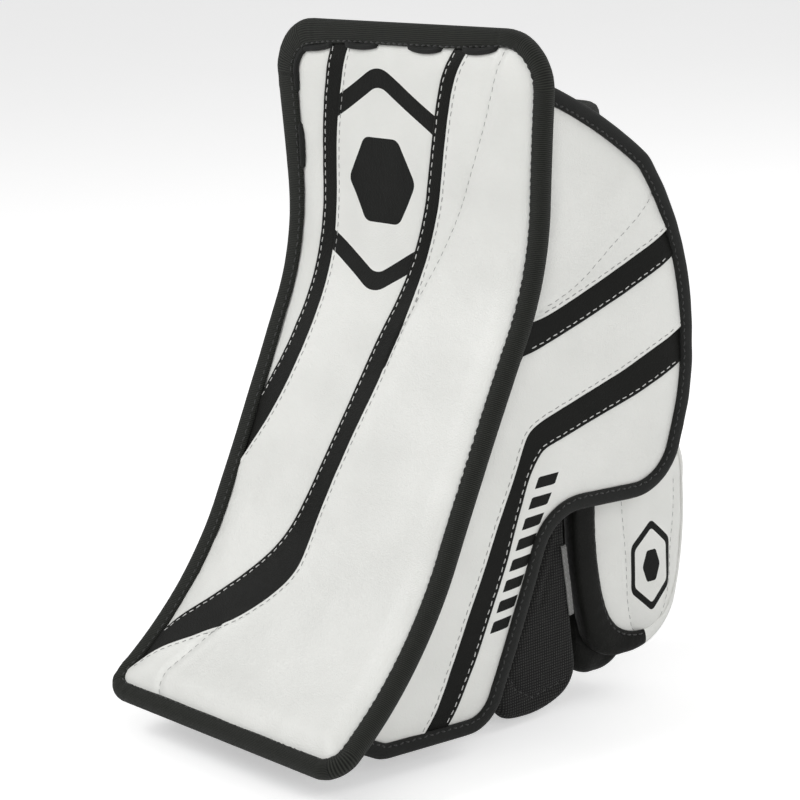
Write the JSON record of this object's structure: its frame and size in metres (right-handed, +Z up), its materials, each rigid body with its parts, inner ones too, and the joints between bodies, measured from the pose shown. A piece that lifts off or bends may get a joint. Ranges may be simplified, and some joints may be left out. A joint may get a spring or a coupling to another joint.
{
  "type": "goalie blocker",
  "caption": "Hand-worn stick-side hockey goal glove: a curved padded rectangular strike board with a flared side board, thumb guard, finger sleeves and strapped cuff behind it.",
  "frame": {"origin": "on the strike face, at the middle of the board's flat upper part", "axes": "+X across the board towards the thumb, -Y out of the strike face, +Z up towards the forearm; the fingers point down"},
  "size_m": [0.199, 0.2588, 0.3472],
  "materials": {
    "white_leather": "fine-grained synthetic leather",
    "black_leather": "fine-grained synthetic leather",
    "foam": "closed-cell foam",
    "stiff_sheet": "smooth sheet",
    "binding_tape": "ribbed woven tape",
    "lace_cord": "braided cord",
    "hook_and_loop": "hook and loop pile",
    "mesh_fabric": "coarse woven mesh",
    "grey_tape": "narrow woven tape",
    "palm_suede": "soft synthetic suede",
    "lining_fabric": "brushed knit",
    "black_fabric": "dense woven nylon"
  },
  "bodies": {
    "board": {"board_back_sheet": "lining_fabric", "board_binding": "binding_tape", "board_core_cover": "lining_fabric", "board_core_foam": "foam", "board_edge_laces": "lace_cord", "board_front_foam": "foam", "board_panel_center": "white_leather", "board_panel_inner": "white_leather", "board_panel_outer": "white_leather", "board_plate": "stiff_sheet", "board_stripe_inner": "black_leather", "board_stripe_outer": "black_leather", "cuff_binding": "binding_tape", "cuff_lining": "lining_fabric", "cuff_pad": "mesh_fabric", "glove_back": "black_fabric", "glove_palm": "palm_suede", "hand_riser_pad": "foam", "index_guard_pad": "mesh_fabric", "index_guard_tape": "grey_tape", "little_finger_guard": "mesh_fabric", "palm_patch": "palm_suede", "side_gusset": "mesh_fabric", "strap_anchor": "binding_tape", "strap_loop_patch": "hook_and_loop"},
    "side_board": {"side_binding": "binding_tape", "side_foam": "foam", "side_lining": "lining_fabric", "side_panel_lower": "white_leather", "side_panel_middle": "white_leather", "side_panel_top": "white_leather", "side_plate": "stiff_sheet", "side_stripe_lower": "black_leather", "side_stripe_upper": "black_leather"},
    "thumb": {"thumb_guard_binding": "binding_tape", "thumb_guard_cover": "white_leather", "thumb_guard_foam": "foam", "thumb_guard_lining": "lining_fabric", "thumb_stall": "black_fabric"},
    "strap": {"strap_hook_patch": "hook_and_loop", "wrist_strap": "binding_tape"},
    "index_base": {"index_finger_proximal": "black_fabric"},
    "index_tip": {"index_finger_distal": "black_fabric"},
    "middle_base": {"middle_finger_proximal": "black_fabric"},
    "middle_tip": {"middle_finger_distal": "black_fabric"},
    "ring_base": {"ring_finger_proximal": "black_fabric"},
    "ring_tip": {"ring_finger_distal": "black_fabric"},
    "little_base": {"little_finger_proximal": "black_fabric"},
    "little_tip": {"little_finger_distal": "black_fabric"}
  },
  "joints": [
    {"name": "side_board_flex", "type": "hinge", "parent": "board", "child": "side_board", "pos_m": [0.07792, -0.03447, -0.1435], "axis": [-0.0699, -0.3962, -0.9155], "range_deg": [0, 10]},
    {"name": "thumb_swing", "type": "hinge", "parent": "board", "child": "thumb", "pos_m": [0.06805, 0.06437, -0.1695], "axis": [0.9903, -0.1392, 0], "range_deg": [0, 25]},
    {"name": "index_knuckle", "type": "hinge", "parent": "board", "child": "index_base", "pos_m": [0.02675, 0.0277, -0.17843], "axis": [1, 0, 0], "range_deg": [0, 60]},
    {"name": "index_middle_joint", "type": "hinge", "parent": "index_base", "child": "index_tip", "pos_m": [0.02675, 0.01705, -0.22112], "axis": [1, 0, 0], "range_deg": [0, 66]},
    {"name": "middle_knuckle", "type": "hinge", "parent": "board", "child": "middle_base", "pos_m": [0.00325, 0.0277, -0.17843], "axis": [1, 0, 0], "range_deg": [0, 60]},
    {"name": "middle_middle_joint", "type": "hinge", "parent": "middle_base", "child": "middle_tip", "pos_m": [0.00325, 0.01608, -0.225], "axis": [1, 0, 0], "range_deg": [0, 66]},
    {"name": "ring_knuckle", "type": "hinge", "parent": "board", "child": "ring_base", "pos_m": [-0.02025, 0.0277, -0.17843], "axis": [1, 0, 0], "range_deg": [0, 60]},
    {"name": "ring_middle_joint", "type": "hinge", "parent": "ring_base", "child": "ring_tip", "pos_m": [-0.02025, 0.01681, -0.22209], "axis": [1, 0, 0], "range_deg": [0, 66]},
    {"name": "little_knuckle", "type": "hinge", "parent": "board", "child": "little_base", "pos_m": [-0.04375, 0.0277, -0.17843], "axis": [1, 0, 0], "range_deg": [0, 60]},
    {"name": "little_middle_joint", "type": "hinge", "parent": "little_base", "child": "little_tip", "pos_m": [-0.04375, 0.01851, -0.2153], "axis": [1, 0, 0], "range_deg": [0, 66]},
    {"name": "strap_peel", "type": "hinge", "parent": "board", "child": "strap", "pos_m": [0.0305, 0.1003, -0.0505], "axis": [0, 0, -1], "range_deg": [0, 110]}
  ],
  "couplings": [
    {"joint": "index_middle_joint", "follows": "index_knuckle", "ratio": 1.1},
    {"joint": "middle_middle_joint", "follows": "middle_knuckle", "ratio": 1.1},
    {"joint": "ring_middle_joint", "follows": "ring_knuckle", "ratio": 1.1},
    {"joint": "little_middle_joint", "follows": "little_knuckle", "ratio": 1.1}
  ]
}
